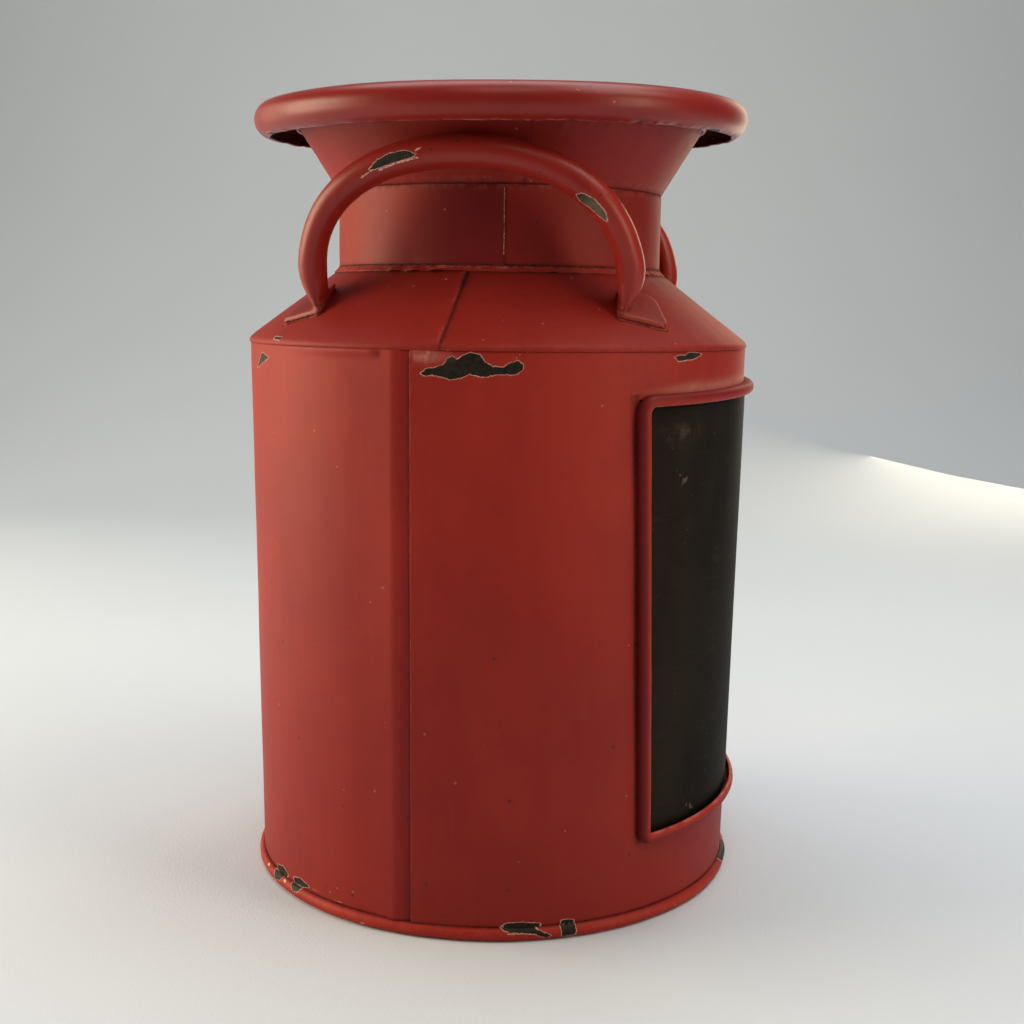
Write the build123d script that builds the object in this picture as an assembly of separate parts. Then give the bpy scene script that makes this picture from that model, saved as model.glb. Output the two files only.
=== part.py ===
from build123d import *
from math import atan2, cos, degrees, radians, sin
import os

os.makedirs("parts", exist_ok=True)

# Milk can of rolled and soldered sheet metal, with a chalkboard let into its front.
# Millimetres. +Z is up, the origin is on the can's axis at the level it stands on.
# The chalkboard faces -Y; the two handles stand to the -X and +X sides.

# Sheet and its lapped seams
SHEET = 0.7            # wall thickness of the rolled sheets
LAP_STEP = 0.7         # height of the outer sheet's edge over the inner one

# Base pan with its rolled standing bead
BEAD_R = 99.1          # outermost radius of the bead
BEAD_H = 5.2
BEAD_INNER_R = 95.0
BEAD_FLAT = (95.5, 97.3)   # inner and outer radius of the flat it stands on
PAN_Z = 3.0            # underside of the recessed disc
GROOVE_Z = 1.6         # floor of the groove that holds the body wall

# Body wall, slightly wider at the top
BODY_R_LOW = 97.0      # at the top of the bead
BODY_R_TOP = 99.9
BODY_TOP_Z = 213.2
BODY_SEAM = 173.2      # direction of the lap seam, degrees from +X
BODY_LAP = 10.0        # degrees of flat band that lead up to the seam
BODY_JOGGLE = 2.8      # degrees over which the inner sheet dips under the outer one

# Shoulder
EDGE_R = 100.5
EDGE_Z = 215.0
EDGE_ROUND = 2.2
SHOULDER_TOP_Z = 242.0
SHOULDER_SEAM = 179.6
FLANGE_Z = 205.0       # lower edge of the flange inside the body wall

# Neck
NECK_R = 64.6
NECK_BORE_R = 63.7
NECK_BOTTOM_Z = 240.6
NECK_TOP_Z = 272.0
NECK_SEAM = 192.0

# Flare
FLARE_R_LOW = 64.3
FLARE_R_TOP = 84.4
FLARE_TOP_Z = 302.3
FLARE_WALL = 0.7       # measured level, not square to the cone
FLARE_SEAM = 198.2

# Rolled rim: a curl open underneath
RIM_R = 90.8           # radius of the circle the curl's centre runs on
RIM_Z = 299.0
CURL_R = 6.7           # outside radius of the curl
CURL_END = -82         # where the curl stops, degrees from straight outwards

# Handles: tube bent to an arch, ends flattened and turned out on the shoulder
LEFT_HANDLE_AT = 182.75
RIGHT_HANDLE_AT = 357.25
HANDLE_HALF_SPAN = 58.0
HANDLE_SPRING_Z = 238.0
HANDLE_RISE = 44.4
HANDLE_FOOT_R = 61.5   # distance of the handle's plane from the axis at its feet
HANDLE_FOOT_Z = 228.5
HANDLE_LEAN = 20.0     # degrees outwards
TUBE_WALL = 0.8
TAB_THICK = 1.8
TAB_LIFT = 0.5         # solder between the tab and the shoulder
TAB_CORNERS = ((54.0, 53.0), (70.5, 54.0), (61.3, 72.0), (47.3, 66.2))
TAB_ROUND = 3.5
SLOPE_RISE = 1.25      # height over the shoulder for each millimetre square to it

# Chalkboard and the channel frame round it
FRAME_HALF_ANGLE = 48.0
FRAME_LOW_Z = 33.3
FRAME_HIGH_Z = 200.2
FRAME_CROOKED = 1.75   # degrees it sits out of square
FRAME_PROUD = 4.0
FRAME_BAR = 4.1        # width of the bars
FRAME_LEG = 1.3        # thickness of the bars' outer leg
FRAME_SLOT = 2.2       # gap behind the lip
BOARD_THICK = 0.6


def body_radius(z):
    """Outer radius of the body wall at height z."""
    share = (z - BEAD_H) / (BODY_TOP_Z - BEAD_H)
    return BODY_R_LOW + (BODY_R_TOP - BODY_R_LOW) * share


def shoulder_z(r):
    """Height of the shoulder's upper surface at radius r."""
    slope = (SHOULDER_TOP_Z - EDGE_Z) / (EDGE_R - NECK_R)
    return SHOULDER_TOP_Z - (r - NECK_R) * slope


def polar(r, angle, z=0.0):
    return (r * cos(radians(angle)), r * sin(radians(angle)), z)


def ring(*points):
    """Solid of revolution from a closed outline of (radius, height) points."""
    outline = Polyline(*[(r, 0, z) for r, z in points], close=True)
    return revolve(make_face(outline), Axis.Z)


def frustum(r_low, z_low, r_high, z_high):
    return ring((0, z_low), (r_low, z_low), (r_high, z_high), (0, z_high))


def lap_section(r, z, seam, lap, step):
    """Disc whose edge swells over the last degrees before a lap seam, then drops."""
    start = polar(r, seam, z)
    far = polar(r, seam + 180 - lap / 2, z)
    fade = polar(r, seam - lap, z)
    middle = polar(r + step * 0.62, seam - lap / 2, z)
    lip = polar(r + step, seam, z)
    edges = [
        ThreePointArc(start, far, fade),
        ThreePointArc(fade, middle, lip),
        Line(lip, start),
    ]
    return make_face(edges)


def lapped_cone(r_low, z_low, r_high, z_high, seam, lap, step=LAP_STEP):
    """Solid frustum with the raised edge of a lap seam down one side."""
    low = lap_section(r_low, z_low, seam, lap, step)
    high = lap_section(r_high, z_high, seam, lap, step)
    return loft([low, high], ruled=True)


def make_base_pan():
    """Recessed disc and the rolled bead that the can stands on, in one pressing."""
    middle = BEAD_H / 2
    bore = body_radius(GROOVE_Z) - SHEET - 0.05
    wall = body_radius(BEAD_H) + 0.05
    low_out, low_in = (BEAD_FLAT[1], 0, 0), (BEAD_FLAT[0], 0, 0)
    edges = [
        Line((0, 0, PAN_Z), (BEAD_INNER_R, 0, PAN_Z)),
        Line((BEAD_INNER_R, 0, PAN_Z), (BEAD_INNER_R, 0, 0.5)),
        Line((BEAD_INNER_R, 0, 0.5), low_in),
        Line(low_in, low_out),
        ThreePointArc(low_out, (BEAD_R, 0, middle), (wall + 0.3, 0, BEAD_H)),
        Line((wall + 0.3, 0, BEAD_H), (wall, 0, BEAD_H - 0.4)),
        Line((wall, 0, BEAD_H - 0.4), (wall, 0, GROOVE_Z)),
        Line((wall, 0, GROOVE_Z), (bore, 0, GROOVE_Z)),
        Line((bore, 0, GROOVE_Z), (bore, 0, PAN_Z + 0.8)),
        Line((bore, 0, PAN_Z + 0.8), (0, 0, PAN_Z + 0.8)),
        Line((0, 0, PAN_Z + 0.8), (0, 0, PAN_Z)),
    ]
    return revolve(make_face(edges), Axis.Z)


def joggle_section(r, z):
    """Disc with a joggled seam: the sheet dips under the edge that is laid over it."""
    half_step = LAP_STEP / 2
    edge = polar(r + half_step, BODY_SEAM, z)
    fade = polar(r, BODY_SEAM + 5, z)
    far = polar(r, BODY_SEAM + 180, z)
    band = polar(r, BODY_SEAM - BODY_LAP, z)
    crest = polar(r + half_step, BODY_SEAM - BODY_JOGGLE, z)
    dip = polar(r - half_step, BODY_SEAM - 0.3, z)
    edges = [
        Line(edge, fade),
        ThreePointArc(fade, far, band),
        Line(band, crest),
        Line(crest, dip),
        Line(dip, edge),
    ]
    return make_face(edges)


def make_body_wall():
    """Sheet rolled round to a joggled seam, its foot in the base pan's groove."""
    low, top = body_radius(GROOVE_Z), BODY_R_TOP
    foot = frustum(low, GROOVE_Z, BODY_R_LOW, BEAD_H)
    sections = [joggle_section(BODY_R_LOW, BEAD_H), joggle_section(top, BODY_TOP_Z)]
    wall = loft(sections, ruled=True)
    inside = frustum(low - SHEET, GROOVE_Z, top - SHEET, BODY_TOP_Z)
    return foot + wall - inside


def make_shoulder(neck):
    """Cone with a rounded edge and a flange turned down inside the body wall."""
    flange_r = body_radius(FLANGE_Z) - SHEET - 0.08
    turn = 0.7071 * EDGE_ROUND
    inner_drop = 1.1
    shoulder_end = (EDGE_R - EDGE_ROUND, 0, shoulder_z(EDGE_R - EDGE_ROUND))
    edges = [
        Line((NECK_R, 0, SHOULDER_TOP_Z), shoulder_end),
        ThreePointArc(
            shoulder_end,
            (EDGE_R - EDGE_ROUND + turn, 0, EDGE_Z + 0.45),
            (EDGE_R, 0, EDGE_Z - 0.9),
        ),
        Line((EDGE_R, 0, EDGE_Z - 0.9), (EDGE_R - 0.2, 0, BODY_TOP_Z)),
        Line((EDGE_R - 0.2, 0, BODY_TOP_Z), (flange_r, 0, BODY_TOP_Z)),
        Line((flange_r, 0, BODY_TOP_Z), (flange_r, 0, FLANGE_Z)),
        Line((flange_r, 0, FLANGE_Z), (flange_r - SHEET, 0, FLANGE_Z)),
        Line((flange_r - SHEET, 0, FLANGE_Z), (flange_r - SHEET, 0, EDGE_Z)),
        Line((flange_r - SHEET, 0, EDGE_Z), (NECK_R, 0, SHOULDER_TOP_Z - inner_drop)),
        Line((NECK_R, 0, SHOULDER_TOP_Z - inner_drop), (NECK_R, 0, SHOULDER_TOP_Z)),
    ]
    cone = revolve(make_face(edges), Axis.Z)
    return cone + shoulder_lap() - neck


def shoulder_lap():
    """Raised edge of the lap seam that runs down the shoulder."""
    r_low, r_high = EDGE_R - EDGE_ROUND - 0.6, NECK_R + 0.6
    swell = lapped_cone(
        r_low, shoulder_z(r_low) - 0.3, r_high, shoulder_z(r_high) - 0.3, SHOULDER_SEAM, 9.0, 0.9
    )
    core = frustum(r_low - 0.3, shoulder_z(r_low) - 0.3, r_high - 0.3, shoulder_z(r_high) - 0.3)
    return swell - core


def make_neck():
    """Plain band with a lap seam; its bore is clear right through."""
    outside = lapped_cone(NECK_R, NECK_BOTTOM_Z, NECK_R, NECK_TOP_Z, NECK_SEAM, 8.0, 0.5)
    inside = Pos(0, 0, NECK_BOTTOM_Z) * Cylinder(
        NECK_BORE_R, NECK_TOP_Z - NECK_BOTTOM_Z, align=(Align.CENTER, Align.CENTER, Align.MIN)
    )
    return outside - inside


def make_neck_solder(neck, shoulder):
    """Fillet of solder round the foot of the neck."""
    fillet_ring = ring(
        (NECK_R, SHOULDER_TOP_Z - 0.5),
        (NECK_R, SHOULDER_TOP_Z + 1.5),
        (NECK_R + 0.6, SHOULDER_TOP_Z + 0.4),
        (NECK_R + 1.9, shoulder_z(NECK_R + 1.9)),
    )
    return fillet_ring - neck - shoulder


def make_flare():
    """Cone that widens from the neck to the rim."""
    outside = lapped_cone(FLARE_R_LOW, NECK_TOP_Z, FLARE_R_TOP, FLARE_TOP_Z, FLARE_SEAM, 8.0, 0.5)
    inside = frustum(
        FLARE_R_LOW - FLARE_WALL + 0.1, NECK_TOP_Z, FLARE_R_TOP - FLARE_WALL + 0.1, FLARE_TOP_Z
    )
    return outside - inside


def make_rim(flare):
    """Strip that lines the top of the flare and curls over outwards, open below."""
    def on_curl(angle, r):
        return (RIM_R + r * cos(radians(angle)), 0, RIM_Z + r * sin(radians(angle)))

    inner = CURL_R - SHEET
    lining = (FLARE_R_TOP - FLARE_R_LOW) / (FLARE_TOP_Z - NECK_TOP_Z) * 7.0
    top_out, top_in = on_curl(148, CURL_R), on_curl(148, inner)
    low_in = (top_in[0] - lining, 0, top_in[2] - 7.0)
    low_out = (top_out[0] - lining, 0, top_out[2] - 7.0)
    edges = [
        Line(low_out, top_out),
        ThreePointArc(top_out, on_curl(30, CURL_R), on_curl(CURL_END, CURL_R)),
        Line(on_curl(CURL_END, CURL_R), on_curl(CURL_END, inner)),
        ThreePointArc(on_curl(CURL_END, inner), on_curl(30, inner), top_in),
        Line(top_in, low_in),
        Line(low_in, low_out),
    ]
    return revolve(make_face(edges), Axis.Z) - flare


def handle_stations():
    """Centre, direction and half sizes of the tube from one foot to the other."""
    half = []
    feet = ((55.6, 225.8, 1.2, 7.6), (56.4, 229.6, 2.0, 7.5), (57.5, 233.4, 3.8, 6.8))
    for y, z, thick, wide in feet:
        half.append((y, z, 80.0, thick, wide))
    for turn in (0, 15, 30, 45, 60, 75):
        y = HANDLE_HALF_SPAN * cos(radians(turn))
        z = HANDLE_SPRING_Z + HANDLE_RISE * sin(radians(turn))
        back = HANDLE_HALF_SPAN * sin(radians(turn))
        up = HANDLE_RISE * cos(radians(turn))
        slope = 90 + degrees(atan2(back, up))
        half.append((y, z, slope, 4.9 + 1.1 * turn / 90, 6.2 - 0.2 * turn / 90))
    stations = list(half)
    stations.append((0.0, HANDLE_SPRING_Z + HANDLE_RISE, 180.0, 6.0, 6.0))
    for y, z, slope, thick, wide in reversed(half):
        stations.append((-y, z, 360.0 - slope, thick, wide))
    return stations


def tube(stations, skin):
    """Loft through ellipses that stand square to the handle's centre line."""
    lean = radians(HANDLE_LEAN)
    out = Vector(cos(lean), 0, -sin(lean))
    rise = Vector(sin(lean), 0, cos(lean))
    sections = []
    for y, z, slope, thick, wide in stations:
        up = (z - HANDLE_FOOT_Z) / cos(lean)
        centre = Vector(HANDLE_FOOT_R, y, HANDLE_FOOT_Z) + rise * up
        along = Vector(0, 1, 0) * cos(radians(slope)) + rise * sin(radians(slope))
        plane = Plane(origin=centre, x_dir=out, z_dir=along)
        sections.append(plane * Ellipse(wide - skin, thick - skin))
    return loft(sections)


def shoulder_layer(low, high):
    """Conical layer that lies over the shoulder between two heights above it."""
    r_in, r_out = NECK_R + 2, EDGE_R - 2
    return ring(
        (r_in, shoulder_z(r_in) + low),
        (r_out, shoulder_z(r_out) + low),
        (r_out, shoulder_z(r_out) + high),
        (r_in, shoulder_z(r_in) + high),
    )


def tab_outline(side, shrink=0.0):
    """Upright column over one flattened end, rounded at its free corners."""
    corners = [(x, side * y) for x, y in TAB_CORNERS]
    face = make_face(Polyline(*corners, close=True))
    if shrink:
        face = offset(face, -shrink)
    column = Pos(0, 0, 205) * extrude(face, 45, dir=(0, 0, 1))
    free_end = (54.0, side * 72.0, 227.0)
    free = column.edges().filter_by(Axis.Z).sort_by_distance(free_end)[:2]
    return fillet(free, TAB_ROUND)


def make_handle(at):
    """Hollow arch with pressed-flat ends that lie on the shoulder."""
    stations = handle_stations()
    low, high = TAB_LIFT * SLOPE_RISE, (TAB_LIFT + TAB_THICK) * SLOPE_RISE
    flat = shoulder_layer(low, high)
    arch = tube(stations, 0.0) - tube(stations[2:-2], TUBE_WALL)
    arch = arch - shoulder_layer(-14, (low + high) / 2)
    arch = arch.solids().sort_by(SortBy.VOLUME)[-1]
    handle = arch + (flat & tab_outline(1)) + (flat & tab_outline(-1))
    return Rot(0, 0, at) * handle


def make_handle_solder(at, shoulder):
    """Solder that fills the gap under both ends of one handle."""
    layer = shoulder_layer(-0.3, TAB_LIFT * SLOPE_RISE)
    pads = (layer & tab_outline(1, 1.2)) + (layer & tab_outline(-1, 1.2))
    return Rot(0, 0, at) * pads - shoulder


def front_shell(low, high):
    """Layer round the body wall between two heights above it, taller than the frame."""
    z0, z1 = FRAME_LOW_Z - 12, min(FRAME_HIGH_Z + 10, BODY_TOP_Z - 1)
    r0, r1 = body_radius(z0), body_radius(z1)
    return ring((r0 + low, z0), (r0 + high, z0), (r1 + high, z1), (r1 + low, z1))


def front_block(inset, corner_high, corner_low):
    """Wedge behind the frame's outline, inset all round, turned slightly crooked."""
    middle = (FRAME_LOW_Z + FRAME_HIGH_Z) / 2
    half = FRAME_HALF_ANGLE - degrees(inset / 98.5)
    near, far = 78.0, 125.0
    mid = -90
    face = make_face(
        [
            ThreePointArc(polar(near, mid - half), polar(near, mid), polar(near, mid + half)),
            Line(polar(near, mid + half), polar(far, mid + half)),
            ThreePointArc(polar(far, mid + half), polar(far, mid), polar(far, mid - half)),
            Line(polar(far, mid - half), polar(near, mid - half)),
        ]
    )
    tall = FRAME_HIGH_Z - FRAME_LOW_Z - 2 * inset
    block = Pos(0, 0, FRAME_LOW_Z + inset) * extrude(face, tall, dir=(0, 0, 1))
    for level, radius in ((FRAME_HIGH_Z - inset, corner_high), (FRAME_LOW_Z + inset, corner_low)):
        straight = block.edges().filter_by(GeomType.LINE)
        radial = [e for e in straight if abs(e.center().Z - level) < 0.01]
        block = fillet(radial, radius)
    return Pos(0, 0, middle) * Rot(0, -FRAME_CROOKED, 0) * Pos(0, 0, -middle) * block


def make_frame():
    """Channel bent round the board: a leg on the wall and a lip turned inwards."""
    outside = front_shell(0, FRAME_PROUD) & front_block(0, 6.5, 4.5)
    rounded = fillet(outer_edges(outside), 1.9)
    slot = front_shell(-1, FRAME_SLOT) & front_block(FRAME_LEG, 5.2, 3.2)
    window = front_block(FRAME_BAR, 2.4, 0.6)
    return rounded - slot - window


def outer_edges(solid):
    """Edges round the outermost curved face of a solid."""
    faces = [f for f in solid.faces() if f.geom_type in (GeomType.CONE, GeomType.CYLINDER)]
    front = max(faces, key=lambda f: f.area)
    return front.outer_wire().edges()


def make_board():
    """Thin board held in the channel's slot, bent to the body wall."""
    return front_shell(0, BOARD_THICK) & front_block(FRAME_LEG + 0.15, 5.0, 3.0)


neck_band = make_neck()
shoulder_cone = make_shoulder(neck_band)
flare_cone = make_flare()

pieces = {
    "base_pan": make_base_pan(),
    "body_wall": make_body_wall(),
    "shoulder_cone": shoulder_cone,
    "neck_band": neck_band,
    "neck_solder_seam": make_neck_solder(neck_band, shoulder_cone),
    "flare_cone": flare_cone,
    "rim_roll": make_rim(flare_cone),
    "left_handle": make_handle(LEFT_HANDLE_AT),
    "right_handle": make_handle(RIGHT_HANDLE_AT),
    "left_handle_solder": make_handle_solder(LEFT_HANDLE_AT, shoulder_cone),
    "right_handle_solder": make_handle_solder(RIGHT_HANDLE_AT, shoulder_cone),
    "panel_frame": make_frame(),
    "chalkboard_panel": make_board(),
}

for name, piece in pieces.items():
    volume = round(piece.volume, 1)
    print(name, "solids", len(piece.solids()), "volume", volume, "valid", piece.is_valid)
    export_step(piece, os.path.join("parts", name + ".step"))
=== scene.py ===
import math

import bmesh
import bpy
import numpy as np
from mathutils import Matrix, Vector


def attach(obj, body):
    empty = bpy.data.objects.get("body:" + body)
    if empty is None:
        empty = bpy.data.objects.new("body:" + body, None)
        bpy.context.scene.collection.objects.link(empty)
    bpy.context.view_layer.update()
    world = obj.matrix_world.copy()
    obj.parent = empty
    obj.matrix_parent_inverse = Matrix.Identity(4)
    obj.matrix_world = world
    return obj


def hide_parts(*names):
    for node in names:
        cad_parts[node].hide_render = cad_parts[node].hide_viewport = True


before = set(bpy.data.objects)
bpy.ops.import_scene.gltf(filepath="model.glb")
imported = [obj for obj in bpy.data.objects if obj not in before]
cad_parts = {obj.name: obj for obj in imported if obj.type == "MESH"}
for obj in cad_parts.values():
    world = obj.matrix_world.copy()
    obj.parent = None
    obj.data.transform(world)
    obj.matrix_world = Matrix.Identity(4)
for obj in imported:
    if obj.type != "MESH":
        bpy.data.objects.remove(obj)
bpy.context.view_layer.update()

# A milk can of painted sheet metal. Lengths below are in millimetres until a mesh is made in
# metres. Directions are in degrees anticlockwise from +X, seen from above; HANDLE_LEAN and
# FRAME_TURN are in radians.

MM = 0.001
SHEET = 0.7
FAR = 9.0                       # the distance marked where no chip or scratch is near

BODY_LOW = (97.0, 5.2)          # LOW, TOP and EDGE pairs are (radius, height)
BODY_TOP = (99.9, 213.2)
BODY_SEAM = 173.2
WALL_R = 98.0                   # the wall's marks are laid out flat at this radius
SHOULDER_EDGE = (100.5, 215.0)
SHOULDER_TOP = (64.6, 242.0)
SHOULDER_SEAM, SHOULDER_SEAM_LEAN = 178.9, 1.6
NECK_R, NECK_BORE, NECK_LOW = 64.6, 63.7, 240.6
NECK_SEAM = 192.0
FLARE_LOW = (64.3, 272.0)
FLARE_TOP = (84.4, 302.3)
FLARE_SEAM = 198.2
RIM_R, RIM_Z, CURL = 90.8, 299.0, 6.7
LEAN_RISE, LEAN, LEAN_AZ = 1.6, 2.39, 173.5   # how the mouth leans: lift, tilt, and its low side
HANDLES = {"left": 181.1, "right": 355.6}
HANDLE_SPAN, HANDLE_SPRING, HANDLE_RISE = 58.3, 238.0, 43.4
HANDLE_FOOT_R, HANDLE_FOOT_Z, HANDLE_LEAN = 61.5, 228.5, math.radians(20.0)
HANDLE_OUT = np.array([math.cos(HANDLE_LEAN), 0, -math.sin(HANDLE_LEAN)])
HANDLE_UP = np.array([math.sin(HANDLE_LEAN), 0, math.cos(HANDLE_LEAN)])
# a foot of a handle that stands on +X, as (x, y)
TAB_CORNERS = ((54.0, 53.0), (70.5, 54.0), (61.3, 72.0), (47.3, 66.2))
TAB_RADII = (1.2, 1.8, 3.2, 3.2)
FRONT_R = 98.5                  # the frame is laid out flat at this radius
FRAME_SIDE, FRAME_LOW, FRAME_HIGH = math.radians(48.0) * FRONT_R, 33.3, 200.2
FRAME_LEG, FRAME_TURN = 1.3, math.radians(1.75)
FRAME_MIDDLE = (FRAME_LOW + FRAME_HIGH) / 2
NOT_ON_FRONT = 900.0            # stands for across on the can's other side
VIEW_AZ = 190.75                # direction from the can to the camera
# the camera: metres, radians, and a lens in millimetres
CAMERA_AT, CAMERA_FORWARD = (-0.56090, -0.10649, 0.2287), (0.97364, 0.17362, -0.14793)
CAMERA_ROLL, CAMERA_LENS = 0.013545, 48.58


# ---- small helpers

def body_r(z):
    share = (z - BODY_LOW[1]) / (BODY_TOP[1] - BODY_LOW[1])
    return BODY_LOW[0] + (BODY_TOP[0] - BODY_LOW[0]) * share


def shoulder_z(r):
    slope = (SHOULDER_TOP[1] - SHOULDER_EDGE[1]) / (SHOULDER_EDGE[0] - SHOULDER_TOP[0])
    return SHOULDER_TOP[1] - (r - SHOULDER_TOP[0]) * slope


def away(az, centre):
    """Signed angle from centre to az, in degrees."""
    return (az - centre + 180.0) % 360.0 - 180.0


def ripple(az, z, size, seed, count=14):
    """Smooth seamless noise over a can's surface, about -1 to 1, with features of one size."""
    r = np.random.default_rng(seed)
    total = np.zeros(np.broadcast(az, z).shape)
    waves_round = 2 * math.pi * 90.0 / size
    for _ in range(count):
        tilt = r.uniform(0, 2 * math.pi)
        n = round(waves_round * math.cos(tilt) * r.uniform(0.6, 1.2))
        m = 2 * math.pi / size * math.sin(tilt) * r.uniform(0.6, 1.2)
        total = total + np.sin(np.radians(az) * n + z * m + r.uniform(0, 2 * math.pi))
    return total / math.sqrt(count)


def bump(az, z, at_az, at_z, width, height, r=90.0):
    """A rounded lump or, with a negative height, a dent."""
    d = (np.radians(away(az, at_az)) * r) ** 2 + (z - at_z) ** 2
    return height * np.exp(-d / (width * width))


def ridge(x, at, width):
    """1 where x is at, fading smoothly on both sides."""
    return np.exp(-((x - at) / width) ** 2)


def unit(x):
    return np.clip(x, 0, 1)


def columns(step, *dense, extra=()):
    """Angles round the can: one every step degrees, closer where (centre, half, step) says,
    and the extra ones."""
    angles = list(np.arange(0, 360, step))
    for centre, half, fine in dense:
        near = np.arange(centre - half, centre + half + 1e-6, fine)
        angles = [a for a in angles if abs(away(a, centre)) > half + fine * 0.5]
        angles += list(near % 360.0)
    return np.array(sorted(set(np.round(angles + list(extra), 4))))


def lap_columns(seam):
    """Angles that follow the sheet's edge at a lap seam, for columns()."""
    return [seam + d for d in (-0.30, -0.16, -0.11, -0.07, -0.02, 0.03, 0.10, 0.22)]


def run(start, end, count):
    """Points from start to end, without end."""
    return [tuple(a + (b - a) * i / count for a, b in zip(start, end)) for i in range(count)]


def arc(centre, radius, first, last, count):
    turns = [math.radians(first + (last - first) * i / count) for i in range(count + 1)]
    return [(centre[0] + radius * math.cos(a), centre[1] + radius * math.sin(a)) for a in turns]


def lap(az, seam, width, step):
    """Extra radius near a lap seam: a flat band that climbs to the sheet's edge, then drops."""
    d = away(az, seam)
    climb = unit((d + width) / width)
    sag = 0.5 * 95.0 * np.radians(width) ** 2 * climb * (1 - climb)
    lift = step * climb - np.minimum(sag, 0.45)
    drop = 1 - unit((d + 0.08) / 0.16)
    return np.where((d > -width) & (d < 0.3), lift * drop, 0.0)


def hermite(t):
    """Weights of a cubic's start, its slope there, its end and its slope there."""
    return (2 * t ** 3 - 3 * t ** 2 + 1, t ** 3 - 2 * t ** 2 + t,
            3 * t ** 2 - 2 * t ** 3, t ** 3 - t ** 2)


def joggle(az, seam, crest, step):
    """Extra radius where the flat end of the sheet dips and the other edge is laid over it."""
    d = away(az, seam)
    band_from, dip_from, dip_to, edge_to, fade_to = -14.0, -4.5, -0.30, 0.1, 9.1
    sag, bottom, slope = 1.35, -0.15, 0.25 * 3.9
    climb = unit((d - band_from) / 9.5)
    flat = crest * climb - sag * climb * (1 - climb)
    start, rising, end, falling = hermite(unit((d - dip_from) / 3.9))
    dip = crest * start + slope * rising + bottom * end - slope * falling
    edge = bottom + (step - bottom) * unit((d - dip_to) / 0.33)
    settle = unit(1 - (d - edge_to) / 9.0)
    fade = step * settle - 0.6 * settle * (1 - settle)
    out = np.where(d < dip_to, np.where(d < dip_from, flat, dip), np.where(d < edge_to, edge, fade))
    return np.where((d > band_from) & (d < fade_to), out, 0.0)


def polygon_distance(x, y, corners):
    """Signed distance from (x, y) to a polygon's outline, negative inside."""
    inside = np.zeros(x.shape, bool)
    for (x0, y0), (x1, y1) in zip(corners, corners[1:] + corners[:1]):
        rise = y1 - y0 if abs(y1 - y0) > 1e-9 else 1e-9
        inside ^= ((y0 > y) != (y1 > y)) & (x < x0 + (y - y0) / rise * (x1 - x0))
    best = line_distance(x, y, corners + corners[:1])
    return np.where(inside, -best, best)


def line_distance(x, y, points):
    """Distance from (x, y) to a line through points."""
    best = np.full(x.shape, 1e9)
    for (x0, y0), (x1, y1) in zip(points, points[1:]):
        dx, dy = x1 - x0, y1 - y0
        t = unit(((x - x0) * dx + (y - y0) * dy) / (dx * dx + dy * dy + 1e-12))
        best = np.minimum(best, np.hypot(x - x0 - t * dx, y - y0 - t * dy))
    return best


def around(az, r=WALL_R):
    """Distance round the can from the side with the seam, in mm."""
    return np.radians(away(az, 190.0)) * r


def flaked(seen, az, z, outlines, r=WALL_R):
    """Signed distance, where seen, to chips given as outlines of (angle, height)."""
    best = np.full(np.broadcast(az, z).shape, FAR)
    for outline in outlines:
        corners = [(float(around(a, r)), h) for a, h in outline]
        best = np.minimum(best, polygon_distance(around(az, r), z, corners))
    return np.where(seen, best, FAR)


def scratched(seen, az, z, lines, r=WALL_R):
    """Signed distance, where seen, to scratches given as (half width, points)."""
    best = np.full(np.broadcast(az, z).shape, FAR)
    for half, points in lines:
        pts = [(float(around(a, r)), h) for a, h in points]
        best = np.minimum(best, line_distance(around(az, r), z, pts) - half)
    return np.where(seen, best, FAR)


# ---- meshes

def edit(mesh, change):
    """Changes a mesh by way of bmesh."""
    work = bmesh.new()
    work.from_mesh(mesh)
    change(work)
    work.to_mesh(mesh)
    work.free()


def link(name, data):
    obj = bpy.data.objects.new(name, data)
    bpy.context.scene.collection.objects.link(obj)
    return obj


def new_object(name, verts, faces):
    """Makes an object from points in mm, with its faces turned outwards."""
    mesh = bpy.data.meshes.new(name)
    mesh.from_pydata((verts * MM).tolist(), [], faces)
    mesh.update()
    obj = link(name, mesh)
    edit(mesh, lambda work: bmesh.ops.recalc_face_normals(work, faces=work.faces))
    return obj


def finish_mesh(name, verts, faces, marks, sharp):
    """Makes an object with smooth faces and marks, which are named values for each point."""
    obj = new_object(name, verts, faces)
    add_marks(obj.data, marks)
    obj.data.shade_smooth()
    obj.data.set_sharp_from_angle(angle=math.radians(sharp))
    return obj


def add_marks(mesh, marks):
    """chip and pale are distances in mm; the other marks run from 0 to 1. Besides dirt, wear, dust,
    bare metal and a deeper red, they carry painted shade, painted highlights and painted sheen.
    """
    for key in ("chip", "pale", "rub", "grime", "bare", "dust", "deep"):
        values = marks.get(key)
        if values is None:
            values = np.full(len(mesh.vertices), FAR if key in ("chip", "pale") else 0.0)
        layer = mesh.attributes.new(key, "FLOAT", "POINT")
        layer.data.foreach_set("value", np.asarray(values, np.float32))


def band(first, second, count):
    """Faces between two rings of count points, numbered from first and from second."""
    return [(first + k, first + (k + 1) % count, second + (k + 1) % count, second + k)
            for k in range(count)]


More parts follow.
